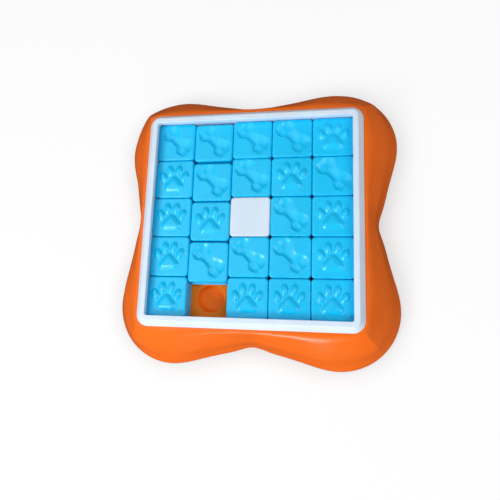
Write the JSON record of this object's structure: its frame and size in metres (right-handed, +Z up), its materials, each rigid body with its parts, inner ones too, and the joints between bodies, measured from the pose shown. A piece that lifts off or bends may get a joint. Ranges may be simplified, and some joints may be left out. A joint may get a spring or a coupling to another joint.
{
  "type": "dog puzzle feeder toy",
  "caption": "Sliding-tile treat puzzle for dogs: square tiles with bone and paw motifs slide over treat wells inside a raised white frame on a flared, lobed base.",
  "frame": {"origin": "on the floor under the middle of the toy: the centre of the bottom of its bounding box", "axes": "+Z up; -Y is the front, the side with the empty cell; +X is to the right seen from the front"},
  "size_m": [0.3734, 0.3734, 0.075],
  "materials": {
    "base": "satin orange",
    "frame": "satin white",
    "tile": "satin light blue",
    "centre_tile": "satin white",
    "screws": "plain steel",
    "feet": "matt black"
  },
  "bodies": {
    "toy_body": {"base": "base", "deck": "base", "top_frame": "frame", "centre_tile": "centre_tile", "frame_screws": "screws", "centre_screw": "screws", "foot_front_left": "feet", "foot_front_right": "feet", "foot_back_left": "feet", "foot_back_right": "feet"},
    "tile_r1_c1": {"tile_r1_c1": "tile"},
    "tile_r1_c2": {"tile_r1_c2": "tile"},
    "tile_r1_c3": {"tile_r1_c3": "tile"},
    "tile_r1_c4": {"tile_r1_c4": "tile"},
    "tile_r1_c5": {"tile_r1_c5": "tile"},
    "tile_r2_c1": {"tile_r2_c1": "tile"},
    "tile_r2_c2": {"tile_r2_c2": "tile"},
    "tile_r2_c3": {"tile_r2_c3": "tile"},
    "tile_r2_c4": {"tile_r2_c4": "tile"},
    "tile_r2_c5": {"tile_r2_c5": "tile"},
    "tile_r3_c1": {"tile_r3_c1": "tile"},
    "tile_r3_c2": {"tile_r3_c2": "tile"},
    "tile_r3_c4": {"tile_r3_c4": "tile"},
    "tile_r3_c5": {"tile_r3_c5": "tile"},
    "tile_r4_c1": {"tile_r4_c1": "tile"},
    "tile_r4_c2": {"tile_r4_c2": "tile"},
    "tile_r4_c3": {"tile_r4_c3": "tile"},
    "tile_r4_c4": {"tile_r4_c4": "tile"},
    "tile_r4_c5": {"tile_r4_c5": "tile"},
    "tile_r5_c1": {"tile_r5_c1": "tile"},
    "tile_r5_c3": {"tile_r5_c3": "tile"},
    "tile_r5_c4": {"tile_r5_c4": "tile"},
    "tile_r5_c5": {"tile_r5_c5": "tile"}
  },
  "joints": [
    {"name": "tile_r1_c1_play", "type": "slide", "parent": "toy_body", "child": "tile_r1_c1", "axis": [1, 0, 0], "range_m": [-0.0002, 0.0002]},
    {"name": "tile_r1_c2_slide", "type": "slide", "parent": "toy_body", "child": "tile_r1_c2", "axis": [0, 1, 0], "range_m": [-0.0436, 0.0024]},
    {"name": "tile_r1_c3_play", "type": "slide", "parent": "toy_body", "child": "tile_r1_c3", "axis": [1, 0, 0], "range_m": [-0.0002, 0.0002]},
    {"name": "tile_r1_c4_play", "type": "slide", "parent": "toy_body", "child": "tile_r1_c4", "axis": [1, 0, 0], "range_m": [-0.0002, 0.0002]},
    {"name": "tile_r1_c5_play", "type": "slide", "parent": "toy_body", "child": "tile_r1_c5", "axis": [1, 0, 0], "range_m": [-0.0002, 0.0002]},
    {"name": "tile_r2_c1_play", "type": "slide", "parent": "toy_body", "child": "tile_r2_c1", "axis": [1, 0, 0], "range_m": [-0.0002, 0.0002]},
    {"name": "tile_r2_c2_slide", "type": "slide", "parent": "toy_body", "child": "tile_r2_c2", "axis": [0, 1, 0], "range_m": [-0.0436, 0.0024]},
    {"name": "tile_r2_c3_play", "type": "slide", "parent": "toy_body", "child": "tile_r2_c3", "axis": [1, 0, 0], "range_m": [-0.0002, 0.0002]},
    {"name": "tile_r2_c4_play", "type": "slide", "parent": "toy_body", "child": "tile_r2_c4", "axis": [1, 0, 0], "range_m": [-0.0002, 0.0002]},
    {"name": "tile_r2_c5_play", "type": "slide", "parent": "toy_body", "child": "tile_r2_c5", "axis": [1, 0, 0], "range_m": [-0.0002, 0.0002]},
    {"name": "tile_r3_c1_play", "type": "slide", "parent": "toy_body", "child": "tile_r3_c1", "axis": [1, 0, 0], "range_m": [-0.0002, 0.0002]},
    {"name": "tile_r3_c2_slide", "type": "slide", "parent": "toy_body", "child": "tile_r3_c2", "axis": [0, 1, 0], "range_m": [-0.0436, 0.0024]},
    {"name": "tile_r3_c4_play", "type": "slide", "parent": "toy_body", "child": "tile_r3_c4", "axis": [1, 0, 0], "range_m": [-0.0002, 0.0002]},
    {"name": "tile_r3_c5_play", "type": "slide", "parent": "toy_body", "child": "tile_r3_c5", "axis": [1, 0, 0], "range_m": [-0.0002, 0.0002]},
    {"name": "tile_r4_c1_play", "type": "slide", "parent": "toy_body", "child": "tile_r4_c1", "axis": [1, 0, 0], "range_m": [-0.0002, 0.0002]},
    {"name": "tile_r4_c2_slide", "type": "slide", "parent": "toy_body", "child": "tile_r4_c2", "axis": [0, 1, 0], "range_m": [-0.0436, 0.0024]},
    {"name": "tile_r4_c3_play", "type": "slide", "parent": "toy_body", "child": "tile_r4_c3", "axis": [1, 0, 0], "range_m": [-0.0002, 0.0002]},
    {"name": "tile_r4_c4_play", "type": "slide", "parent": "toy_body", "child": "tile_r4_c4", "axis": [1, 0, 0], "range_m": [-0.0002, 0.0002]},
    {"name": "tile_r4_c5_play", "type": "slide", "parent": "toy_body", "child": "tile_r4_c5", "axis": [1, 0, 0], "range_m": [-0.0002, 0.0002]},
    {"name": "tile_r5_c1_play", "type": "slide", "parent": "toy_body", "child": "tile_r5_c1", "axis": [1, 0, 0], "range_m": [-0.0002, 0.0002]},
    {"name": "tile_r5_c3_play", "type": "slide", "parent": "toy_body", "child": "tile_r5_c3", "axis": [1, 0, 0], "range_m": [-0.0002, 0.0002]},
    {"name": "tile_r5_c4_play", "type": "slide", "parent": "toy_body", "child": "tile_r5_c4", "axis": [1, 0, 0], "range_m": [-0.0002, 0.0002]},
    {"name": "tile_r5_c5_play", "type": "slide", "parent": "toy_body", "child": "tile_r5_c5", "axis": [1, 0, 0], "range_m": [-0.0002, 0.0002]}
  ],
  "couplings": [
    {"joint": "tile_r2_c2_slide", "follows": "tile_r1_c2_slide", "ratio": 1},
    {"joint": "tile_r3_c2_slide", "follows": "tile_r1_c2_slide", "ratio": 1},
    {"joint": "tile_r4_c2_slide", "follows": "tile_r1_c2_slide", "ratio": 1}
  ]
}
